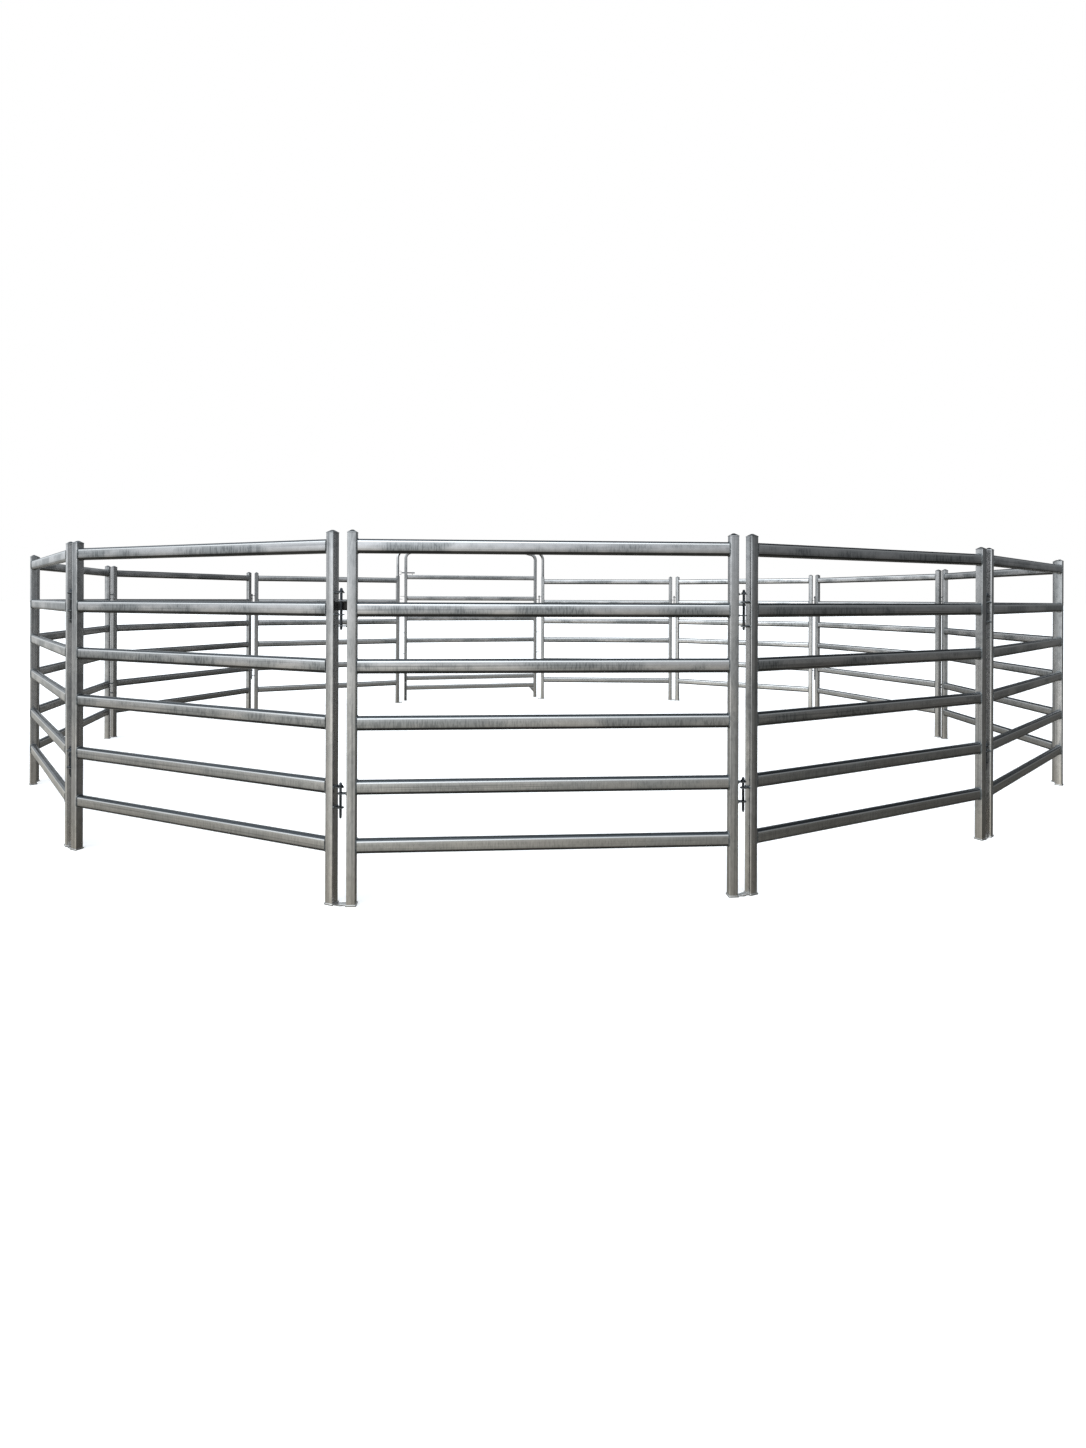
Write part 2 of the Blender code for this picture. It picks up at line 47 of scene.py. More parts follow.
cornerAt = {joint["name"]: Vector(joint["pos_m"]) for joint in frame["joints"] if "pos_m" in joint}
footAt = {mount["name"]: Vector(mount["pos_m"]) for mount in frame["record"]["mounts"]}


# Materials

times = {"operation": "MULTIPLY"}
plus = {"operation": "ADD"}
mixing = {"data_type": "RGBA", "blend_type": "MIX"}  # share and colours on inputs 0, 6 and 7, output 2
tinting = {"data_type": "RGBA", "blend_type": "MULTIPLY"}


def linear(colour):  # sRGB hex to Blender's linear colour
    values = [int(colour[start:start + 2], 16) / 255 for start in (1, 3, 5)]
    return [v / 12.92 if v <= 0.04045 else ((v + 0.055) / 1.055) ** 2.4 for v in values] + [1.0]


def addNode(tree, kind, settings={}, links={}, output=0):
    # links holds an output socket or a fixed value for each input, by name or number, or for the
    # first inputs in turn. One of the node's outputs is given back.
    node = tree.nodes.new("ShaderNode" + kind)
    for name, value in settings.items():
        setattr(node, name, value)
    for name, value in links.items() if isinstance(links, dict) else enumerate(links):
        if isinstance(value, bpy.types.NodeSocket):
            tree.links.new(value, node.inputs[name])
        else:
            node.inputs[name].default_value = value
    return node.outputs[output] if node.outputs else None


def newMaterial(name):
    material = bpy.data.materials.new(name)
    material.use_nodes = True
    material.node_tree.nodes.clear()
    return material, material.node_tree


zinc = {
    "bright": "#dfdddd",            # fresh zinc where the run-off has washed it
    "middle": "#acaeaf",
    "dull": "#565a5e",              # run-off marks in the dull patches, and the painted shade on the lugs
    "paintedHighlight": "#eaeae9",            # painted highlight: the upper rounded corners of a tube are painted pale
    "paintedUnderShade": "#0d0e10",         # painted shade: faces that look down are painted dark
    "upper": "#272f35",             # painted dark reflection: faces that look up are painted dark, but not on the feet
    "dust": "#a39a8c",              # yard dust on the lowest part
    "spangleSize": 0.020,           # real crystals are 5 to 12 mm, drawn coarser so that they show
    "spangleTone": (0.95, 1.05),
    "streakSize": (0.010, 1.20),    # of the features, across and along the tube
    "streakGrain": (2.0, 0.5),      # detail and roughness of the pattern
    "streakEdges": (0.54, 0.70),    # of the pattern, from clean to fully marked
    "streakShare": 0.45,
    # Ticks are short upright marks where the zinc ran off across a rail.
    "tickSize": (0.008, 0.040),     # real ones are 3 to 5 mm wide, drawn coarser so that they show
    "tickGrain": (2.0, 0.5),
    "tickEdges": (0.48, 0.60),
    "tickShare": (0.54, 0.28),      # on patchy zinc and on the evenest
    "patchSize": (0.15, 1 / 3),
    "patchGrain": (3.0, 0.55),
    "patchEdges": (0.42, 0.58),
    "evenHeight": (1.0, 0.5),       # from the one down to the other the zinc becomes evener
    "evenLow": 0.7,
    "flatFacing": (0.30, 0.08),     # facing is 1 for up, 0 for sideways and -1 for down
    "paintedHighlightFacing": (0.03, 0.16),
    "paintedDarkTopFacing": (0.37, 0.47),
    "paintedDarkTopHeight": (0.02, 0.05),
    "paintedDarkTopShare": 0.95,
    "paintedUnderShadeFacing": (-0.03, -0.24),
    "paintedUnderShadeShare": 0.92,
    "dustHeight": (0.55, 0.05),
    "dustRagged": 0.25,
    "dustShare": 0.4,
    "roughnessEdges": (0.35, 0.65),
    "roughness": (0.18, 0.32),
    "bumpStrength": 0.10,
    "bumpDepth": 0.0008,
    "kinds": {                      # evenTone is a grey: the share of middle in even zinc
        "rail": {"along": "X", "evenHigh": 0.0, "evenTone": "#dddddd", "paintedShade": 0.0},
        "post": {"along": "Z", "evenHigh": 0.55, "evenTone": "#bcbcbc", "paintedShade": 0.0},
        "lug": {"along": "Z", "evenHigh": 0.55, "evenTone": "#dddddd", "paintedShade": 0.85},
    },
}


def galvanisedSteel(kind):
    # Hot-dip galvanised steel, drained along its length: bright grey metal with pale and dull runs
    # and faint crystals; painted highlight on the upper corners, painted dark reflection on top, painted
    # shade underneath and over the lugs.
    look = zinc["kinds"][kind]
    material, tree = newMaterial(f"hot-dip galvanised {kind}")
    own = addNode(tree, "Attribute", {"attribute_name": "ownPlace"}, output="Vector")
    height = addNode(tree, "SeparateXYZ", {}, [own], "Z")
    normal = addNode(tree, "NewGeometry", output="Normal")
    facing = addNode(tree, "SeparateXYZ", {}, [normal], "Z")
    patterns = []
    for name, drawnOut in (("streak", look["along"]), ("patch", look["along"]), ("tick", "YZ")):
        width, length = zinc[f"{name}Size"]
        detail, roughness = zinc[f"{name}Grain"]
        scale = [width / length if axis in drawnOut else 1.0 for axis in "XYZ"]
        mapped = addNode(tree, "Mapping", {}, {"Vector": own, "Scale": scale})
        links = {"Vector": mapped, "Scale": 1 / width, "Detail": detail, "Roughness": roughness}
        patterns.append(addNode(tree, "TexNoise", {}, links, "Fac"))
    streaks, patches, ticks = patterns
    links = {"Vector": own, "Scale": 1 / zinc["spangleSize"]}
    spangle = addNode(tree, "TexVoronoi", {}, links, "Color")
    crystal = addNode(tree, "SeparateColor", {}, [spangle])

    even = addNode(tree, "MapRange", {}, (height, *zinc["evenHeight"], look["evenHigh"], zinc["evenLow"]))
    patchy = addNode(tree, "MapRange", {}, (patches, *zinc["patchEdges"]))
    patchy = addNode(tree, "Mix", mixing, {0: even, 6: patchy, 7: linear(look["evenTone"])}, 2)
    steep = addNode(tree, "Math", {"operation": "ABSOLUTE"}, [facing])
    flat = addNode(tree, "MapRange", {}, (steep, *zinc["flatFacing"]))  # rounded corners drain clean
    marks = addNode(tree, "MapRange", {}, (ticks, *zinc["tickEdges"]))
    marks = addNode(tree, "Math", times, (marks, patchy))
    tickShare = addNode(tree, "MapRange", {}, (even, 0.0, zinc["evenLow"], *zinc["tickShare"]))
    marks = addNode(tree, "Math", times, (marks, tickShare))
    marks = addNode(tree, "Math", times, (marks, flat))
    runs = addNode(tree, "MapRange", {}, (streaks, *zinc["streakEdges"]))
    runs = addNode(tree, "Math", times, (runs, zinc["streakShare"]))
    colour = linear(zinc["bright"])
    for share, shade in ((patchy, "middle"), (marks, "dull"), (runs, "dull")):
        colour = addNode(tree, "Mix", mixing, {0: share, 6: colour, 7: linear(zinc[shade])}, 2)
    tone = addNode(tree, "MapRange", {}, (crystal, 0.0, 1.0, *zinc["spangleTone"]))
    colour = addNode(tree, "Mix", tinting, {0: 1.0, 6: colour, 7: tone}, 2)

    ragged = addNode(tree, "Math", times, (streaks, zinc["dustRagged"]))
    ragged = addNode(tree, "Math", plus, (height, ragged))
    low = addNode(tree, "MapRange", {}, (ragged, *zinc["dustHeight"]))
    low = addNode(tree, "Math", times, (low, zinc["dustShare"]))
    # painted highlight: faces that tilt a little upwards, the upper rounded corners, are painted pale
    paintedHighlight = addNode(tree, "MapRange", {}, (facing, *zinc["paintedHighlightFacing"]))
    layers = [(low, "dust"), (paintedHighlight, "paintedHighlight")]
    # painted shade: the lugs are painted dark all over
    if look["paintedShade"]:
        layers.append((look["paintedShade"], "dull"))
    # painted dark reflection: faces that look up are painted dark, except close to the foot
    offFoot = addNode(tree, "MapRange", {}, (height, *zinc["paintedDarkTopHeight"]))
    up = addNode(tree, "MapRange", {}, (facing, *zinc["paintedDarkTopFacing"]))
    up = addNode(tree, "Math", times, (up, offFoot))
    up = addNode(tree, "Math", times, (up, zinc["paintedDarkTopShare"]))
    # painted shade: faces that look down are painted dark
    down = addNode(tree, "MapRange", {}, (facing, *zinc["paintedUnderShadeFacing"]))
    down = addNode(tree, "Math", times, (down, zinc["paintedUnderShadeShare"]))
    layers += [(up, "upper"), (down, "paintedUnderShade")]
    for share, shade in layers:
        colour = addNode(tree, "Mix", mixing, {0: share, 6: colour, 7: linear(zinc[shade])}, 2)

    roughness = addNode(tree, "MapRange", {}, (patches, *zinc["roughnessEdges"], *zinc["roughness"]))
    links = {"Strength": zinc["bumpStrength"], "Distance": zinc["bumpDepth"], "Height": streaks}
    bump = addNode(tree, "Bump", {}, links)
    links = {"Base Color": colour, "Metallic": 1.0, "Roughness": roughness, "Normal": bump}
    addNode(tree, "OutputMaterial", {}, [addNode(tree, "BsdfPrincipled", {}, links)])
    return material


plainFinishes = {
    # Weld bead dipped in zinc with the tube: darker and lumpy, with fine ripples.
    "galvanised weld bead": {
        "shades": ("#55595b", "#8b8f90"),
        "coarseSize": 0.010,
        "coarseScale": (1.0, 1.0, 1.0),
        "coarseGrain": (4.0, 0.6),
        "edges": (0.35, 0.65),
        "fineSize": 0.003,
        "fineScale": (1.0, 1.0, 1.0),
        "fineGrain": (3.0, 0.5),
        "roughnessFrom": "fine",
        "roughnessEdges": (0.3, 0.7),
        "roughness": (0.40, 0.62),
        "metallic": 0.85,
        "bumpStrength": 0.6,
        "bumpDepth": 0.0012,
    },
    # Turned steel, bright zinc-plated: cooler and smoother than the tube, worn dark where it slides.
    "bright zinc-plated steel": {
        "shades": ("#54595f", "#1f2123"),
        "coarseSize": 0.030,
        "coarseScale": (1.0, 1.0, 0.3),  # drawn out along the upright pins and bolt
        "coarseGrain": (5.0, 0.65),
        "edges": (0.42, 0.62),
        "fineSize": 0.004,
        "fineScale": (0.2, 0.2, 1.0),   # drawn out round them, as the tool left it
        "fineGrain": (2.0, 0.5),
        "roughnessFrom": "coarse",
        "roughnessEdges": (0.35, 0.65),
        "roughness": (0.24, 0.46),
        "metallic": 1.0,
        "bumpStrength": 0.2,
        "bumpDepth": 0.0003,
    },
}


def plainSteel(name):  # a finish of two shades in a coarse pattern, with a fine pattern raised on it
    finish = plainFinishes[name]
    material, tree = newMaterial(name)
    own = addNode(tree, "Attribute", {"attribute_name": "ownPlace"}, output="Vector")
    patterns = []
    for kind in ("coarse", "fine"):
        detail, roughness = finish[f"{kind}Grain"]
        mapped = addNode(tree, "Mapping", {}, {"Vector": own, "Scale": finish[f"{kind}Scale"]})
        scale = 1 / finish[f"{kind}Size"]
        links = {"Vector": mapped, "Scale": scale, "Detail": detail, "Roughness": roughness}
        patterns.append(addNode(tree, "TexNoise", {}, links, "Fac"))
    coarse, fine = patterns
    share = addNode(tree, "MapRange", {}, (coarse, *finish["edges"]))
    under, over = [linear(shade) for shade in finish["shades"]]
    colour = addNode(tree, "Mix", mixing, {0: share, 6: under, 7: over}, 2)
    source = fine if finish["roughnessFrom"] == "fine" else coarse
    roughness = addNode(tree, "MapRange", {}, (source, *finish["roughnessEdges"], *finish["roughness"]))
    links = {"Strength": finish["bumpStrength"], "Distance": finish["bumpDepth"], "Height": fine}
    bump = addNode(tree, "Bump", {}, links)
    links = {"Base Color": colour, "Metallic": finish["metallic"], "Roughness": roughness, "Normal": bump}
    addNode(tree, "OutputMaterial", {}, [addNode(tree, "BsdfPrincipled", {}, links)])
    return material


moulded = {
    "dark": "#141414",
    "pale": "#2b2a28",
    "grainSize": 0.004,
    "grain": (4.0, 0.6),
    "grainEdges": (0.4, 0.7),
    "roughness": 0.72,
    "bumpStrength": 0.4,
    "bumpDepth": 0.0004,
}


def blackRubber():
    # Moulded black rubber: matt charcoal with a fine, slightly brown grain.
    material, tree = newMaterial("moulded black rubber")
    own = addNode(tree, "Attribute", {"attribute_name": "ownPlace"}, output="Vector")
    scale, detail, roughness = 1 / moulded["grainSize"], *moulded["grain"]
    links = {"Vector": own, "Scale": scale, "Detail": detail, "Roughness": roughness}
    grain = addNode(tree, "TexNoise", {}, links, "Fac")
    share = addNode(tree, "MapRange", {}, (grain, *moulded["grainEdges"]))
    links = {0: share, 6: linear(moulded["dark"]), 7: linear(moulded["pale"])}
    colour = addNode(tree, "Mix", mixing, links, 2)
    links = {"Strength": moulded["bumpStrength"], "Distance": moulded["bumpDepth"], "Height": grain}
    bump = addNode(tree, "Bump", {}, links)
    links = {"Base Color": colour, "Roughness": moulded["roughness"], "Normal": bump}
    addNode(tree, "OutputMaterial", {}, [addNode(tree, "BsdfPrincipled", {}, links)])
    return material


railSteel = galvanisedSteel("rail")
postSteel = galvanisedSteel("post")
lugSteel = galvanisedSteel("lug")
weldSteel = plainSteel("galvanised weld bead")
pinSteel = plainSteel("bright zinc-plated steel")
rubber = blackRubber()
print("materials made")


# Modelling tools

shaping = {
    "sides": 32,            # of every round bar, tube and hole
    "alongAxis": 0.99,      # cosine from which an edge or a face counts as along an axis
    "near": 1e-5,           # two places closer than this are one
    "mergeWithin": 1e-6,
    "postSteps": 4,         # across a rounded corner
    "railSteps": 5,
    "sharpAngle": 40,       # degrees
    "smoothAngle": 35,
    "bendSteps": 10,
    "archSteps": 24,
    "plateEdge": 0.0008,
    "cutPast": 0.01,        # how far a drill goes past both faces
    "patternShift": 3.7,    # from copy to copy, so that no two show the same marks
}


def selectOnly(*pieces):
    bpy.ops.object.select_all(action="DESELECT")
    for piece in pieces:
        piece.select_set(True)
    bpy.context.view_layer.objects.active = pieces[0]


def edit(piece):
    selectOnly(piece)
    bpy.ops.object.mode_set(mode="EDIT")


def leaveEdit():
    bpy.ops.object.mode_set(mode="OBJECT")


def selectAll():  # in edit mode
    bpy.ops.mesh.select_all(action="SELECT")


def pick(piece, kind, wanted):  # selects the edges or faces for which wanted is true, in edit mode
    bpy.ops.mesh.select_mode(type=kind)
    bpy.ops.mesh.select_all(action="DESELECT")
    form = bmesh.from_edit_mesh(piece.data)
    for item in form.edges if kind == "EDGE" else form.faces:
        if wanted(item):
            item.select_set(True)
    bmesh.update_edit_mesh(piece.data)


def runsAlong(axis):  # picks edges that lie along an axis
    def wanted(edge):
        run = (edge.verts[0].co - edge.verts[1].co).normalized()
        return abs(run[axis]) > shaping["alongAxis"]
    return wanted


def looksAlong(axis, sign):  # picks faces that look along an axis
    return lambda face: face.normal[axis] * sign > shaping["alongAxis"]


def extrude(x, y, z):  # the selection, in edit mode
    bpy.ops.mesh.extrude_region_move(TRANSFORM_OT_translate={"value": (x, y, z)})


def closeShell():  # merges the steps of a spin, clears the faces inside and turns the rest outwards
    selectAll()
    bpy.ops.mesh.remove_doubles(threshold=shaping["mergeWithin"])
    bpy.ops.mesh.select_all(action="DESELECT")
    bpy.ops.mesh.select_mode(type="FACE")
    bpy.ops.mesh.select_interior_faces()
    bpy.ops.mesh.delete(type="ONLY_FACE")
    selectAll()
    bpy.ops.mesh.normals_make_consistent(inside=False)


def place(piece):
    selectOnly(piece)
    bpy.ops.object.transform_apply(location=True, rotation=True, scale=True)
    return piece


def addBlock(low, high):
    bpy.ops.object.select_all(action="DESELECT")
    centre = [(a + b) / 2 for a, b in zip(low, high)]
    bpy.ops.mesh.primitive_cube_add(size=1.0, location=centre)
    block = bpy.context.object
    block.scale = [b - a for a, b in zip(low, high)]
    return place(block)


def addDisc(radius, height):
    bpy.ops.object.select_all(action="DESELECT")
    bpy.ops.mesh.primitive_circle_add(
        vertices=shaping["sides"], radius=radius, fill_type="NGON", location=(0, 0, height)
    )
    return place(bpy.context.object)


def addRound(radius, start, end):  # a cylinder between two points
    bpy.ops.object.select_all(action="DESELECT")
    start, end = Vector(start), Vector(end)
    turn = (end - start).to_track_quat("Z", "Y").to_euler()
    middle, length = (start + end) / 2, (end - start).length
    bpy.ops.mesh.primitive_cylinder_add(
        vertices=shaping["sides"], radius=radius, depth=length, location=middle, rotation=turn
    )
    return place(bpy.context.object)


def bevelEdges(piece, wanted, width, steps):
    edit(piece)
    pick(piece, "EDGE", wanted)
    bpy.ops.mesh.bevel(offset=width, segments=steps, affect="EDGES")
    leaveEdit()
    return piece


def applied(piece, kind, **settings):
    modifier = piece.modifiers.new(kind.title(), kind)
    for name, value in settings.items():
        setattr(modifier, name, value)
    selectOnly(piece)
    bpy.ops.object.modifier_apply(modifier=modifier.name)
    return piece


def softened(piece, width, steps=2):  # rounds every sharp edge a little
    sharp = radians(shaping["sharpAngle"])
    return applied(piece, "BEVEL", width=width, segments=steps, limit_method="ANGLE", angle_limit=sharp)


def cut(piece, cutter):
    applied(piece, "BOOLEAN", operation="DIFFERENCE", solver="EXACT", object=cutter)
    bpy.data.objects.remove(cutter)
    return piece


def madeOf(material, pieces):
    for piece in pieces:
        piece.data.materials.clear()
        piece.data.materials.append(material)
    return list(pieces)


def joined(name, pieces):
    selectOnly(*pieces)
    bpy.ops.object.join()
    whole = bpy.context.object
    whole.name = name
    bpy.ops.object.shade_smooth_by_angle(angle=radians(shaping["smoothAngle"]))
    return whole


def addUpright(low, high, corner):  # square tube with rounded corners
    return bevelEdges(addBlock(low, high), runsAlong(2), corner, shaping["postSteps"])


def addRail(low, high, corner):  # flattened tube with rounded corners
    return bevelEdges(addBlock(low, high), runsAlong(0), corner, shaping["railSteps"])


strap = {
    "noseShare": 0.98,      # of the half width, so that a sliver of the end stays flat
    "noseSteps": 10,
    "edge": 0.0006,
}


def addStrap(radius, root, tip, low, high, hole=None):
    # Flat lug from x = root to a round nose about x = tip.
    side = 1 if tip > root else -1
    nose = tip + side * radius
    ends = sorted((root, nose))
    piece = addBlock((ends[0], -radius, low), (ends[1], radius, high))

    def atNose(edge):
        return runsAlong(2)(edge) and abs(edge.verts[0].co.x - nose) < shaping["near"]

    bevelEdges(piece, atNose, radius * strap["noseShare"], strap["noseSteps"])
    softened(piece, strap["edge"])
    if hole:
        past = shaping["cutPast"]
        cut(piece, addRound(hole, (tip, 0, low - past), (tip, 0, high + past)))
    return piece


weld = {
    "size": 0.0045,
    "rimShare": 0.9,        # of the size that is rounded off
    "rimSteps": 3,
    "halvings": 3,          # of edges longer than two steps, so that the lumps have points to move
    "roughen": 0.0012,
    "lump": 0.006,
    "step": 0.006,
    "lugCorner": 0.0005,
}


def addWeld(face, side, middle, width, height, corner):
    # A fillet round a member that leaves a face at x = face.
    size = weld["size"]
    rim = face + side * size
    start, end = sorted((face, rim))
    y, z = middle
    wide, tall = width / 2 + size, height / 2 + size
    bead = addBlock((start, y - wide, z - tall), (end, y + wide, z + tall))
    bevelEdges(bead, runsAlong(0), corner + size, shaping["railSteps"])

    def atRim(edge):
        return all(abs(vertex.co.x - rim) < shaping["near"] for vertex in edge.verts)

    bevelEdges(bead, atRim, size * weld["rimShare"], weld["rimSteps"])
    edit(bead)
    for _ in range(weld["halvings"]):
        pick(bead, "EDGE", lambda edge: edge.calc_length() > 2 * weld["step"])
        bpy.ops.mesh.subdivide(number_cuts=1)
    leaveEdit()
    lumps = bpy.data.textures.get("weld lumps") or bpy.data.textures.new("weld lumps", "CLOUDS")
    lumps.noise_scale = weld["lump"]
    return applied(bead, "DISPLACE", texture=lumps, strength=weld["roughen"])


# Panels

panel = {
    "pitch": 1.970,
    "postSize": 0.045,
    "postCorner": 0.005,
    "postFromAxis": 0.053,
    "postTop": 1.786,
    "footSize": 0.053,
    "footHeight": 0.008,
    "capSize": 0.047,
    "capBottom": 1.784,
    "capLip": 0.004,
    "capTop": 1.800,
    "capTip": 0.009,
    "capEdgeSteps": 3,
    "pressedEdge": 0.0012,
    "tubeWall": 0.002,
    "socketDepth": 0.120,
    "railDepth": 0.040,
    "railHeight": 0.070,
    "railCorner": 0.016,
    "railHeights": (0.283, 0.564, 0.871, 1.144, 1.417, 1.721),
    "letIn": 0.004,
    "lugRadius": 0.016,
    "lugThickness": 0.005,
    "lugHole": 0.0078,
    "lugsA": (1.458, 1.338, 0.536),
    "lugsB": (1.498, 1.392, 0.566, 0.468),
    "tongueA": (0.0044, 0.0078),
    "tongueB": (0.0006, 0.0040),
}


def addCap(x):  # pressed steel cap: a square lip and a low pyramid
    half = panel["capSize"] / 2
    lipTop = panel["capBottom"] + panel["capLip"]
    cap = addBlock((x - half, -half, panel["capBottom"]), (x + half, half, lipTop))
    bevelEdges(cap, runsAlong(2), panel["postCorner"], shaping["postSteps"])
    edit(cap)
    pick(cap, "FACE", looksAlong(2, 1))
    extrude(0, 0, panel["capTop"] - lipTop)
    shrink = panel["capTip"] / panel["capSize"]
    bpy.ops.transform.resize(value=(shrink, shrink, 1), center_override=(x, 0, panel["capTop"]))
    leaveEdit()
    return softened(cap, panel["pressedEdge"], panel["capEdgeSteps"])


def addPost(x, openTop):
    half = panel["postSize"] / 2
    low = (x - half, -half, panel["footHeight"] / 2)
    post = addUpright(low, (x + half, half, panel["postTop"]), panel["postCorner"])
    if openTop:  # the bow plugs in here
        edit(post)
        pick(post, "FACE", looksAlong(2, 1))
        bpy.ops.mesh.inset(thickness=panel["tubeWall"])
        extrude(0, 0, -panel["socketDepth"])
        leaveEdit()
    return post


def addFoot(x):
    half = panel["footSize"] / 2
    foot = addUpright((x - half, -half, 0.0), (x + half, half, panel["footHeight"]), panel["postCorner"])
    return softened(foot, panel["pressedEdge"])


def inTheirSteels(posts, rails, welds, lugs):
    pieces = madeOf(postSteel, posts) + madeOf(railSteel, rails)
    return pieces + madeOf(weldSteel, welds) + madeOf(lugSteel, lugs)


def makePanel(name, openA=False, openB=False):
    posts, rails, welds, lugs = [], [], [], []
    nearPost = panel["postFromAxis"] + panel["postSize"] / 2
    ends = (
        (0.0, 1, panel["lugsA"], panel["tongueA"], openA),
        (panel["pitch"], -1, panel["lugsB"], panel["tongueB"], openB),
    )
    for axis, side, lugHeights, tongue, openTop in ends:
        middle = axis + side * panel["postFromAxis"]
        outerFace = middle - side * panel["postSize"] / 2
        innerFace = middle + side * panel["postSize"] / 2
        root = outerFace + side * panel["letIn"]
        posts += [addPost(middle, openTop), addFoot(middle)]
        posts.append(addStrap(panel["lugRadius"], root, axis, *tongue))
        if not openTop:
            posts.append(addCap(middle))
        for height in lugHeights:
            low = height - panel["lugThickness"] / 2
            high = low + panel["lugThickness"]
            lugs.append(addStrap(panel["lugRadius"], root, axis, low, high, panel["lugHole"]))
            size = (2 * panel["lugRadius"], panel["lugThickness"], weld["lugCorner"])
            welds.append(addWeld(outerFace, -side, (0, height), *size))
        for height in panel["railHeights"]:
            size = (panel["railDepth"], panel["railHeight"], panel["railCorner"])
            welds.append(addWeld(innerFace, side, (0, height), *size))
    start = nearPost - panel["letIn"]
    for height in panel["railHeights"]:
        low = (start, -panel["railDepth"] / 2, height - panel["railHeight"] / 2)
        high = (panel["pitch"] - start, panel["railDepth"] / 2, height + panel["railHeight"] / 2)
        rails.append(addRail(low, high, panel["railCorner"]))
    return joined(name, inTheirSteels(posts, rails, welds, lugs))


def finishedCopy(model, name, matrix, node, body, slot, number):
    # The copy has its own mesh and place, and its number gives it its own stretch of the pattern.
    piece = model.copy()
    piece.data = model.data.copy()
    piece.name = name
    piece.data.name = name
    bpy.context.scene.collection.objects.link(piece)
    shift = Vector((0.0, shaping["patternShift"] * number, 0.0))
    own = piece.data.attributes.new("ownPlace", "FLOAT_VECTOR", "POINT")
    for index, vertex in enumerate(piece.data.vertices):
        own.data[index].vector = vertex.co + shift
    piece.data.transform(matrix)
    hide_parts(node)
    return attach(piece, body)


def between(start, end, height=0.0):  # a frame at start with +X towards end
    direction = end - start
    turn = Matrix.Rotation(atan2(direction.y, direction.x), 4, "Z")
    return Matrix.Translation((start.x, start.y, height)) @ turn


rightChain = (7, 6, 5, 4, 3, 2, 1)   # each panel's B end is the next one's A end
leftChain = (7, 8, 9, 10, 11, 12)    # each panel's A end is the next one's B end
endsOf = {number: [None, None] for number in range(1, 13)}  # the axes of the A end and the B end
for chain, shared in ((rightChain, 1), (leftChain, 0)):
    for before, after in zip(chain, chain[1:]):
        corner = cornerAt[f"corner_{before:02d}_{after:02d}"]
        endsOf[before][shared] = corner
        endsOf[after][1 - shared] = corner
hingeAxis = cornerAt["gate_hinge"]
latchFoot = footAt["latch_post_foot"]
latchAxis = latchFoot + (latchFoot - endsOf[12][1]).normalized() * panel["postFromAxis"]
endsOf[1][1] = hingeAxis
endsOf[12][0] = latchAxis

panelModels = {
    1: makePanel("panel model, socket at B", openB=True),
    12: makePanel("panel model, socket at A", openA=True),
    0: makePanel("panel model"),
}
for number, (axisA, axisB) in endsOf.items():
    model = panelModels.get(number, panelModels[0])
    node = f"panel_{number:02d}"
    matrix = between(axisA, axisB)
    finishedCopy(model, f"galvanised_{node}", matrix, node, node, "galvanised_steel", number)
for model in panelModels.values():
    bpy.data.objects.remove(model)
print("twelve panels made")


# Drop pins

pin = {
    "radius": 0.0064,
    "tip": ((0.0, 0.45), (0.002, 0.75), (0.009, 1.0)),  # height above the end, share of the radius
    "collar": 0.012,
    "collarUnder": 0.001,
    "collarEdge": 0.0015,
    "collarHeight": 0.006,
    "nub": 0.0078,
    "nubHeight": 0.014,
    "nubDome": 0.006,
    "nubTaper": 0.85,
    "nubAngles": (0.0, 0.5, 0.95, 1.3),
    "lengths": {"upper": 0.182, "lower": 0.153},
    "lugs": {"upper": 1.498, "lower": 0.566},
    "seatGap": 0.0003,
}


def addTurned(name, profile):  # turned about Z through (height, radius) pairs, from the bottom up
    height, radius = profile[0]
    turned = addDisc(radius, height)
    edit(turned)
    selectAll()
    for nextHeight, nextRadius in profile[1:]:
        extrude(0, 0, nextHeight - height)
        scale = nextRadius / radius
        bpy.ops.transform.resize(value=(scale, scale, 1), center_override=(0, 0, nextHeight))
        height, radius = nextHeight, nextRadius
    selectAll()
    bpy.ops.mesh.normals_make_consistent(inside=False)
    leaveEdit()
    turned.name = name
    return turned


def makePin(name, length):
    top = pin["collarHeight"] + pin["nubHeight"]
    profile = [(rise - length, pin["radius"] * share) for rise, share in pin["tip"]]
    profile += [
        (0.0, pin["radius"]),
        (0.0, pin["collar"] - pin["collarUnder"]),
        (pin["collarUnder"], pin["collar"]),
        (pin["collarHeight"] - pin["collarEdge"], pin["collar"]),
        (pin["collarHeight"], pin["collar"] - pin["collarEdge"]),
        (pin["collarHeight"], pin["nub"]),
    ]
    for angle in pin["nubAngles"]:
        height = top - pin["nubDome"] * (1 - sin(angle))
        profile.append((height, pin["nub"] * cos(angle) * pin["nubTaper"]))
    return joined(name, madeOf(pinSteel, [addTurned(name, profile)]))


for kind, length in pin["lengths"].items():
    model = makePin(f"{kind} pin model", length)
    seat = pin["lugs"][kind] + panel["lugThickness"] / 2 + pin["seatGap"]
    for number, (axisA, axisB) in endsOf.items():
        node = f"{kind}_pin_{number:02d}"
        matrix = between(axisB, axisA, seat)
        finishedCopy(model, f"plated_{node}", matrix, node, node, "plated_steel", number)
    bpy.data.objects.remove(model)
print("drop pins made")


# Gate leaf

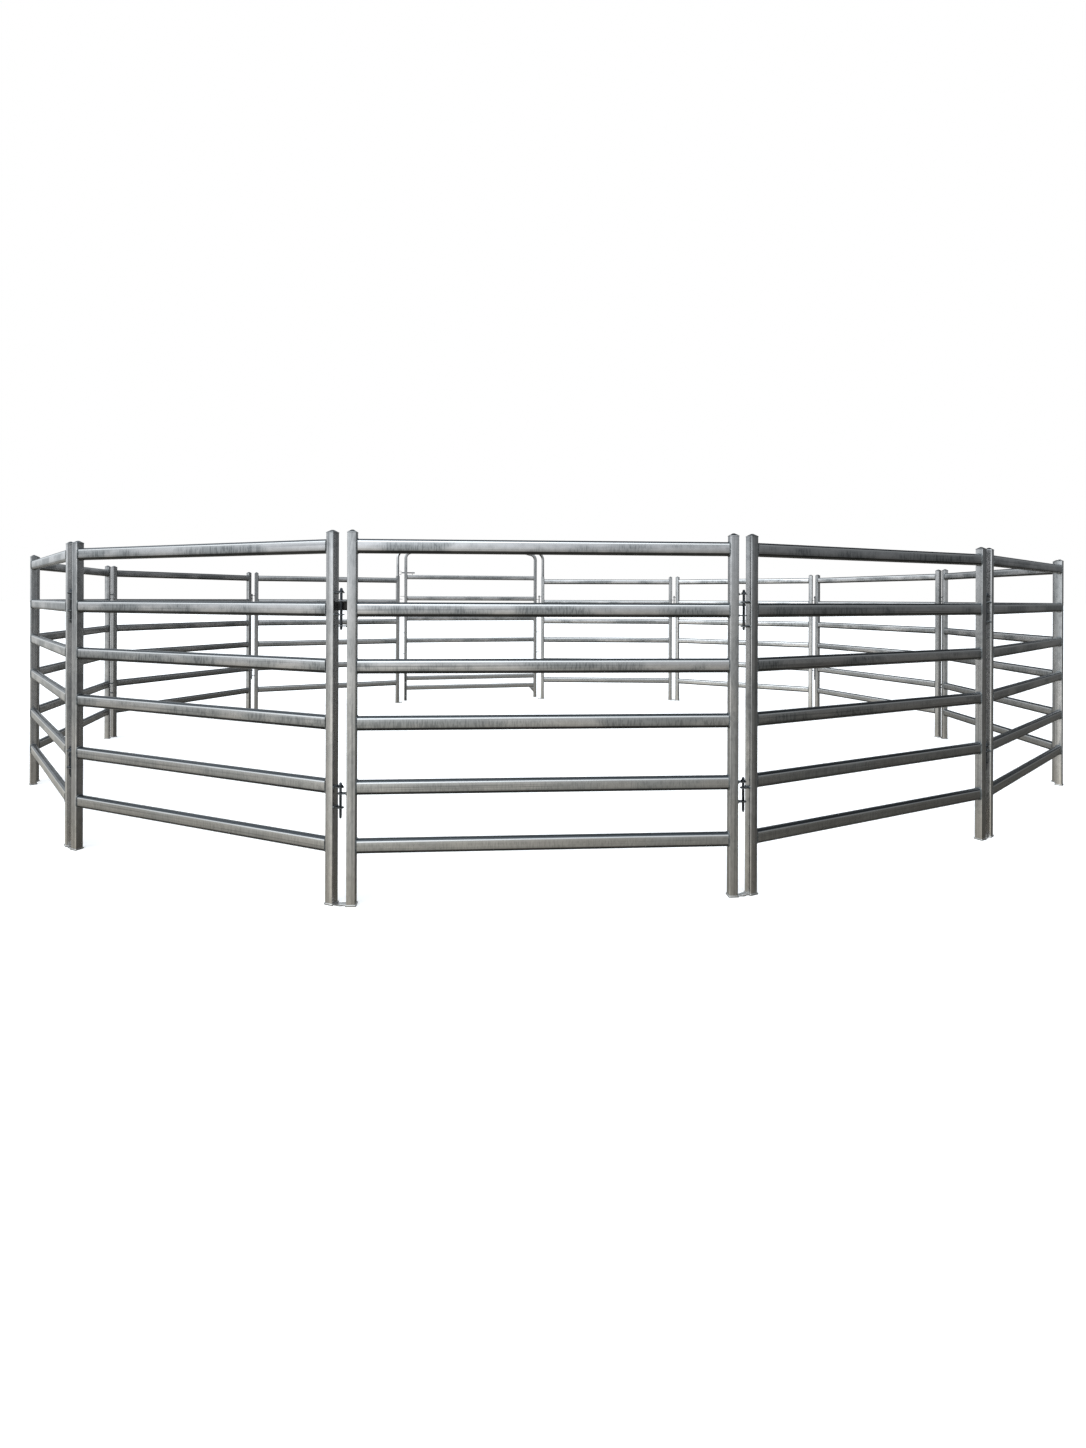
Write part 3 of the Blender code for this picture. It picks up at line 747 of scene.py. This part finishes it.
leaf = {
    "pitch": 1.990,
    "stileSize": 0.040,
    "stileCorner": 0.005,
    "stileFromAxis": 0.060,
    "bottom": 0.030,
    "spring": 2.038,
    "shoulder": 0.080,
    "slope": 14.0,          # degrees, of the arch where it leaves the shoulder
    "tubeWall": 0.0025,
    "openDepth": 0.060,
    "railHeight": 0.060,
    "railDepth": 0.030,
    "railCorner": 0.008,
    "rails": (0.207, 0.343, 0.560, 0.874, 1.185, 1.470, 1.770),
    "lugRadius": 0.015,
    "lugWeldShare": 0.9,
    "ringHeights": (0.985, 0.690),
    "ringRadius": 0.020,
    "ringHole": 0.0155,
    "stubReach": 0.020,
    "gussetSize": 0.070,
    "gussetThickness": 0.006,
    "gussetLetIn": 0.003,
    "gussetTip": 0.002,
    "boltHeight": 1.830,
    "boltHole": 0.0095,
    "boltGuide": 0.150,
    "boltGuideRadius": 0.015,
    "dropOut": 0.034,
    "dropGuides": (0.100, 0.285),
    "dropGuideRadius": 0.014,
    "guideLetIn": 0.002,
}


def bentHoop(section, first, last, spring, shoulder, slope, lastFoot):
    # From a section face at the first foot: up the leg, round the shoulder, over the arch and down.
    half = (last - first) / 2
    lean = radians(slope)
    turn = pi / 2 - lean
    reach = shoulder * (1 - cos(turn))
    archRadius = (half - reach) / sin(lean)
    archCentre = spring + shoulder * sin(turn) - archRadius * cos(lean)
    bottom = section.data.vertices[0].co.z
    edit(section)
    selectAll()
    extrude(0, 0, spring - bottom)
    bends = (
        ((first + shoulder, 0, spring), turn, shaping["bendSteps"]),
        ((first + half, 0, archCentre), 2 * lean, shaping["archSteps"]),
        ((last - shoulder, 0, spring), turn, shaping["bendSteps"]),
    )
    for centre, angle, steps in bends:  # a spin turns left-handed about its axis
        bpy.ops.mesh.spin(steps=steps, angle=angle, center=centre, axis=(0, -1, 0))
    extrude(0, 0, lastFoot - spring)
    closeShell()
    leaveEdit()
    return section


def hollowFeet(tube, wall, depth, spring):  # opens the tube's lower ends
    def isFoot(face):
        return looksAlong(2, -1)(face) and face.calc_center_median().z < spring

    edit(tube)
    pick(tube, "FACE", isFoot)
    bpy.ops.mesh.inset(thickness=wall, use_individual=True)
    extrude(0, 0, depth)
    leaveEdit()
    return tube


def addHoop():  # both stiles and the arch of the leaf, in one bent square tube
    first = leaf["stileFromAxis"]
    bpy.ops.object.select_all(action="DESELECT")
    bpy.ops.mesh.primitive_plane_add(size=leaf["stileSize"], location=(first, 0, leaf["bottom"]))
    section = place(bpy.context.object)
    edit(section)
    selectAll()
    bpy.ops.mesh.bevel(offset=leaf["stileCorner"], segments=shaping["postSteps"], affect="VERTICES")
    leaveEdit()
    bend = (leaf["spring"], leaf["shoulder"], leaf["slope"])
    hoop = bentHoop(section, first, leaf["pitch"] - first, *bend, leaf["bottom"])
    return hollowFeet(hoop, leaf["tubeWall"], leaf["openDepth"], leaf["spring"])


def addBoltGuide():  # an eye that stands on the top rail, across the bolt
    half = panel["lugThickness"] / 2
    base = max(leaf["rails"])
    root = leaf["railHeight"] / 2 - leaf["guideLetIn"]
    reach = leaf["boltHeight"] - base
    guide = addStrap(leaf["boltGuideRadius"], root, reach, -half, half, leaf["boltHole"])
    guide.rotation_euler = (0, -pi / 2, 0)
    guide.location = (leaf["pitch"] - leaf["boltGuide"], 0, base)
    return place(guide)


def addDropGuide(stile, height):  # an eye on the pen side of the latch stile
    half = panel["lugThickness"] / 2
    root = leaf["stileSize"] / 2 - leaf["guideLetIn"]
    guide = addStrap(leaf["dropGuideRadius"], root, leaf["dropOut"], -half, half, leaf["boltHole"])
    guide.rotation_euler = (0, 0, pi / 2)
    guide.location = (stile, 0, height)
    return place(guide)


def addGusset(inner):  # a corner plate under the bottom rail
    top = min(leaf["rails"]) - leaf["railHeight"] / 2
    half, letIn = leaf["gussetThickness"] / 2, leaf["gussetLetIn"]
    low = (inner - letIn, -half, top - leaf["gussetSize"])
    plate = addBlock(low, (inner + leaf["gussetSize"], half, top + letIn))

    def outerCorner(edge):
        return all(vertex.co.x > inner and vertex.co.z < top for vertex in edge.verts)

    edit(plate)
    pick(plate, "EDGE", outerCorner)
    bpy.ops.transform.translate(value=(leaf["gussetTip"] - leaf["gussetSize"], 0, 0))
    leaveEdit()
    return softened(plate, shaping["plateEdge"])


def makeLeaf(name):
    pitch = leaf["pitch"]
    outer = leaf["stileFromAxis"] - leaf["stileSize"] / 2
    inner = leaf["stileFromAxis"] + leaf["stileSize"] / 2
    posts, rails, welds, lugs = [addHoop()], [], [], []
    depth, tall = leaf["railDepth"] / 2, leaf["railHeight"] / 2
    start = inner - panel["letIn"]
    for height in leaf["rails"]:
        low = (start, -depth, height - tall)
        rails.append(addRail(low, (pitch - start, depth, height + tall), leaf["railCorner"]))
        size = (leaf["railDepth"], leaf["railHeight"], leaf["railCorner"])
        welds.append(addWeld(inner, 1, (0, height), *size))
        welds.append(addWeld(pitch - inner, -1, (0, height), *size))

    thick = panel["lugThickness"]
    root = outer + panel["letIn"]
    farRoot = pitch - root
    lugSize, ringSize = (leaf["lugRadius"], panel["lugHole"]), (leaf["ringRadius"], leaf["ringHole"])
    straps = [(0.0, root, height, *lugSize) for height in panel["lugsA"]]
    straps += [(0.0, root, height, *ringSize) for height in leaf["ringHeights"]]
    straps += [(pitch, farRoot, height, *lugSize) for height in panel["lugsB"]]
    for tip, base, height, radius, hole in straps:
        lugs.append(addStrap(radius, base, tip, height - thick / 2, height + thick / 2, hole))
        face, side = (outer, -1) if tip == 0.0 else (pitch - outer, 1)
        size = (2 * radius * leaf["lugWeldShare"], thick, weld["lugCorner"])
        welds.append(addWeld(face, side, (0, height), *size))
    stubWidth = leaf["lugRadius"]
    for height in leaf["ringHeights"]:
        low = (farRoot, -stubWidth, height - thick / 2)
        high = (pitch - leaf["stubReach"], stubWidth, height + thick / 2)
        posts.append(softened(addBlock(low, high), shaping["plateEdge"]))
        size = (2 * stubWidth * leaf["lugWeldShare"], thick, weld["lugCorner"])
        welds.append(addWeld(pitch - outer, 1, (0, height), *size))
    posts += [addBoltGuide(), addGusset(inner)]
    posts += [addDropGuide(pitch - leaf["stileFromAxis"], height) for height in leaf["dropGuides"]]
    return joined(name, inTheirSteels(posts, rails, welds, lugs))


def finishedPiece(model, *details):  # for a model that is needed only once
    finishedCopy(model, *details)
    bpy.data.objects.remove(model)


leafFrame = between(hingeAxis, latchAxis)
leafModel = makeLeaf("leaf model")
finishedPiece(
    leafModel, "galvanised_gate_leaf", leafFrame, "gate_leaf", "gate_leaf", "galvanised_steel", 13
)
print("gate leaf made")


# Overhead bow

bow = {
    "radius": 0.019,
    "spring": 2.040,
    "shoulder": 0.105,
    "slope": 16.0,          # degrees
    "openDepth": 0.050,
    "freeGap": 0.001,
    "keeperFromAxis": 0.003,
    "keeperWall": 0.005,
    "keeperHeight": 0.055,
    "keeperWidth": 0.028,
    "keeperHole": 0.010,
}


def addKeeper(span, latchLocal):
    # A channel from the free leg towards the leaf, with a hole for the bolt.
    front = latchLocal.x + bow["keeperFromAxis"]
    wall = bow["keeperWall"]
    low = leaf["boltHeight"] - bow["keeperHeight"] / 2
    high = leaf["boltHeight"] + bow["keeperHeight"] / 2
    side = bow["keeperWidth"] / 2
    keeper = addBlock((front, latchLocal.y - side, low), (front + wall, latchLocal.y + side, high))
    edit(keeper)
    for height in (low + wall, high - wall):
        selectAll()
        bpy.ops.mesh.bisect(plane_co=(0, 0, height), plane_no=(0, 0, 1))

    def isFlange(face):
        middle = face.calc_center_median().z
        return looksAlong(0, 1)(face) and not low + wall < middle < high - wall

    pick(keeper, "FACE", isFlange)
    extrude(span - front - wall, 0, 0)
    leaveEdit()
    softened(keeper, shaping["plateEdge"])
    start = (front - shaping["cutPast"], latchLocal.y, leaf["boltHeight"])
    end = (front + 2 * wall, latchLocal.y, leaf["boltHeight"])
    return cut(keeper, addRound(bow["keeperHole"], start, end))


def makeBow(name, span, latchLocal):
    section = addDisc(bow["radius"], panel["postTop"] - panel["socketDepth"] + pin["seatGap"])
    bend = (bow["spring"], bow["shoulder"], bow["slope"])
    tube = bentHoop(section, 0.0, span, *bend, panel["postTop"] + bow["freeGap"])
    hollowFeet(tube, leaf["tubeWall"], bow["openDepth"], bow["spring"])
    return joined(name, madeOf(postSteel, [tube, addKeeper(span, latchLocal)]))


plugged = cornerAt["bow_swivel"]
bowFrame = between(plugged, latchFoot)
bowModel = makeBow("bow model", (latchFoot - plugged).length, bowFrame.inverted() @ latchAxis)
finishedPiece(bowModel, "galvanised_gate_bow", bowFrame, "gate_bow", "gate_bow", "galvanised_steel", 14)
print("bow made")


# Bolts

bolt = {
    "radius": 0.008,
    "length": 0.180,
    "toKeeper": 0.007,
    "pegRadius": 0.006,
    "pegFromAxis": 0.115,
    "pegLength": 0.070,
    "dropBottom": 0.030,
    "dropHandle": 0.420,
    "dropHandleLength": 0.085,
    "dropBend": 0.024,
    "dropBendSteps": 8,
    "chamfer": 0.0015,
}


def makeSlideBolt(name):
    tip = leaf["pitch"] + bow["keeperFromAxis"] - bolt["toKeeper"]
    peg = leaf["pitch"] - bolt["pegFromAxis"]
    height = leaf["boltHeight"]
    bars = [
        addRound(bolt["radius"], (tip - bolt["length"], 0, height), (tip, 0, height)),
        addRound(bolt["pegRadius"], (peg, 0, height), (peg, bolt["pegLength"], height)),
    ]
    return joined(name, madeOf(pinSteel, [softened(bar, bolt["chamfer"]) for bar in bars]))


def makeDropBolt(name):  # about its own upright axis, the handle bent over towards the hinge side
    bar = addDisc(bolt["radius"], bolt["dropBottom"])
    bend = bolt["dropBend"]
    bendHeight = bolt["dropHandle"] - bend
    edit(bar)
    selectAll()
    extrude(0, 0, bendHeight - bolt["dropBottom"])
    bpy.ops.mesh.spin(
        steps=bolt["dropBendSteps"], angle=pi / 2, center=(-bend, 0, bendHeight), axis=(0, 1, 0)
    )
    extrude(bend - bolt["dropHandleLength"], 0, 0)
    closeShell()
    leaveEdit()
    return joined(name, madeOf(pinSteel, [softened(bar, bolt["chamfer"])]))


slideModel = makeSlideBolt("slide bolt model")
finishedPiece(slideModel, "plated_slide_bolt", leafFrame, "slide_bolt", "slide_bolt", "plated_steel", 15)
dropPlace = Matrix.Translation((leaf["pitch"] - leaf["stileFromAxis"], leaf["dropOut"], 0))
dropFrame = leafFrame @ dropPlace
dropModel = makeDropBolt("drop bolt model")
finishedPiece(dropModel, "plated_drop_bolt", dropFrame, "drop_bolt", "drop_bolt", "plated_steel", 16)
print("bolts made")


# Rubber buffer

buffer = {
    "near": 0.009,
    "far": 0.020,
    "reach": 0.028,
    "farReach": 0.022,
    "heights": (1.412, 1.453),
    "edge": 0.002,
    "edgeSteps": 4,
}


def makeBuffer(name):  # a moulded block on the post, its outer corner drawn back
    back = pin["seatGap"] - panel["postFromAxis"] + panel["postSize"] / 2
    low, high = buffer["heights"]
    middle = (buffer["near"] + buffer["far"]) / 2
    block = addBlock((back, buffer["near"], low), (buffer["reach"], buffer["far"], high))

    def outerCorner(edge):
        return all(vertex.co.x > 0 and vertex.co.y > middle for vertex in edge.verts)

    edit(block)
    pick(block, "EDGE", outerCorner)
    bpy.ops.transform.translate(value=(buffer["farReach"] - buffer["reach"], 0, 0))
    leaveEdit()
    return joined(name, madeOf(rubber, [softened(block, buffer["edge"], buffer["edgeSteps"])]))


bufferFrame = between(endsOf[8][0], endsOf[8][1]) @ Matrix.Translation((panel["pitch"], 0, 0))
bufferModel = makeBuffer("buffer model")
finishedPiece(bufferModel, "rubber_block", bufferFrame, "rubber_buffer", "panel_08", "black_rubber", 17)
print("rubber buffer made")


# Floor, light and camera

studio = {
    "floorSize": 400.0,
    "floorColour": "#f4f4f4",
    "floorMottle": "#e6e6e4",
    "mottleSize": 0.5,
    "mottleGrain": (3.0, 0.5),
    "mottleShare": 0.05,
    "floorRoughness": 0.9,
    "floorGlow": 0.45,              # keeps the pale floor as white as the backdrop
    "backdrop": "#ffffff",
    "dome": (                       # degrees from +X, brightness of the dome low down in that direction
        (-180, 0.58), (-160, 0.60), (-145, 1.36), (-95, 0.78), (-82, 0.50),
        (-56, 0.31), (-46, 0.42), (-26, 0.15), (-15, 0.13), (60, 0.14),
        (84, 0.18), (111, 0.38), (132, 0.64), (150, 0.80), (180, 0.58),
    ),
    "rise": (                       # height on the dome from -1 to 1, and what multiplies that brightness
        (-1.0, 0.75), (-0.36, 0.75), (-0.12, 0.85), (0.0, 0.92), (0.10, 1.4), (1.0, 1.4),
    ),
    "brightest": 1.4,
    "bounce": 0.46,                 # light off the pale floor, the same all round
    "bounceHeight": (-0.36, -0.56),
    "coolAbove": "#f0f7fd",
    "warmBelow": "#fffdf3",
    "tintHeight": (-0.20, 0.08),
    "overhead": 1.2,                # soft light above, strongest over the left side
    "overheadHeight": (0.32, 0.62),
    "overheadRight": 0.10,          # share of it that is left over the right side
    "rightSide": (0.20, 0.65),
    "overheadBehind": 0.30,         # and beyond the pen
    "behind": (-0.10, 0.40),
}


def makeFloor():
    bpy.ops.object.select_all(action="DESELECT")
    bpy.ops.mesh.primitive_plane_add(size=studio["floorSize"])
    floor = bpy.context.object
    floor.name = "floor"
    material, tree = newMaterial("pale matt floor")
    where = addNode(tree, "TexCoord", output="Object")
    scale, detail, roughness = 1 / studio["mottleSize"], *studio["mottleGrain"]
    links = {"Vector": where, "Scale": scale, "Detail": detail, "Roughness": roughness}
    mottle = addNode(tree, "TexNoise", {}, links, "Fac")
    share = addNode(tree, "Math", times, (mottle, studio["mottleShare"]))
    pale = linear(studio["floorColour"])
    colour = addNode(tree, "Mix", mixing, {0: share, 6: pale, 7: linear(studio["floorMottle"])}, 2)
    links = {
        "Base Color": colour,
        "Roughness": studio["floorRoughness"],
        "Emission Color": pale,
        "Emission Strength": studio["floorGlow"],
    }
    seenFloor = addNode(tree, "BsdfPrincipled", {}, links)
    clear = addNode(tree, "BsdfTransparent")  # the steel mirrors the dome, not the floor
    seen = addNode(tree, "LightPath", output="Is Camera Ray")
    mixed = addNode(tree, "MixShader", {}, (seen, clear, seenFloor))
    addNode(tree, "OutputMaterial", {}, [mixed])
    floor.data.materials.append(material)


def makeLight():  # a soft dome, bright overhead and to the left, behind a white backdrop
    world = bpy.data.worlds.new("white studio")
    world.use_nodes = True
    tree = world.node_tree
    tree.nodes.clear()
    direction = addNode(tree, "TexCoord", output="Generated")
    x, y, z = [addNode(tree, "SeparateXYZ", {}, [direction], axis) for axis in "XYZ"]
    heading = addNode(tree, "Math", {"operation": "ARCTAN2"}, (y, x))
    ramps = []
    for value, start, end, stops in ((heading, -pi, pi, "dome"), (z, -1.0, 1.0, "rise")):
        ramp = addNode(tree, "ValToRGB", {}, [addNode(tree, "MapRange", {}, (value, start, end))])
        elements = ramp.node.color_ramp.elements
        while len(elements) < len(studio[stops]):
            elements.new(0.5)
        first, last = studio[stops][0][0], studio[stops][-1][0]
        for element, (at, level) in zip(elements, studio[stops]):
            element.position = (at - first) / (last - first)
            element.color = (*[level / studio["brightest"]] * 3, 1.0)
        ramps.append(ramp)
    low = addNode(tree, "Math", times, ramps)
    low = addNode(tree, "Math", times, (low, studio["brightest"] ** 2))
    fade = addNode(tree, "MapRange", {}, (z, *studio["bounceHeight"], 1.0, 0.0))
    bounce = addNode(tree, "MapRange", {}, (z, *studio["bounceHeight"], 0.0, studio["bounce"]))
    low = addNode(tree, "Math", times, (low, fade))
    low = addNode(tree, "Math", plus, (low, bounce))
    right = studio["overhead"] * studio["overheadRight"]
    side = addNode(tree, "MapRange", {}, (x, *studio["rightSide"], studio["overhead"], right))
    beyond = addNode(tree, "MapRange", {}, (y, *studio["behind"], 1.0, studio["overheadBehind"]))
    up = addNode(tree, "MapRange", {}, (z, *studio["overheadHeight"]))
    up = addNode(tree, "Math", times, (up, side))
    up = addNode(tree, "Math", times, (up, beyond))
    strength = addNode(tree, "Math", plus, (low, up))
    cool = addNode(tree, "MapRange", {}, (z, *studio["tintHeight"]))
    links = {0: cool, 6: linear(studio["warmBelow"]), 7: linear(studio["coolAbove"])}
    tint = addNode(tree, "Mix", mixing, links, 2)
    dome = addNode(tree, "Background", {}, (tint, strength))
    backdrop = addNode(tree, "Background", {}, (linear(studio["backdrop"]), 1.0))
    seen = addNode(tree, "LightPath", output="Is Camera Ray")
    mixed = addNode(tree, "MixShader", {}, (seen, dome, backdrop))
    addNode(tree, "OutputWorld", {}, [mixed])
    bpy.context.scene.world = world


photoView = {
    "place": (-0.409, -7.255, 1.472),
    "yaw": -3.96,                   # degrees, to the right of +Y
    "roll": 0.21,
    "focal": 742.79,                # pixels of the 1086 x 1448 photograph
    "longSide": 1448,
    "horizon": 598.67,              # pixel row of eye level
    "sensor": 36.0,                 # mm
}


def makeCamera():
    data = bpy.data.cameras.new("camera")
    data.sensor_width = photoView["sensor"]
    data.lens = photoView["focal"] / photoView["longSide"] * photoView["sensor"]
    data.shift_y = (photoView["horizon"] - photoView["longSide"] / 2) / photoView["longSide"]
    data.clip_end = studio["floorSize"]
    camera = bpy.data.objects.new("camera", data)
    camera.location = photoView["place"]
    turn = Matrix.Rotation(radians(photoView["yaw"]), 3, "Z") @ Matrix.Rotation(pi / 2, 3, "X")
    turn = turn @ Matrix.Rotation(radians(photoView["roll"]), 3, "Z")
    camera.rotation_euler = turn.to_euler()
    bpy.context.scene.collection.objects.link(camera)
    bpy.context.scene.camera = camera


makeFloor()
makeLight()
makeCamera()
bpy.context.scene.view_settings.view_transform = "Standard"
print("studio made")
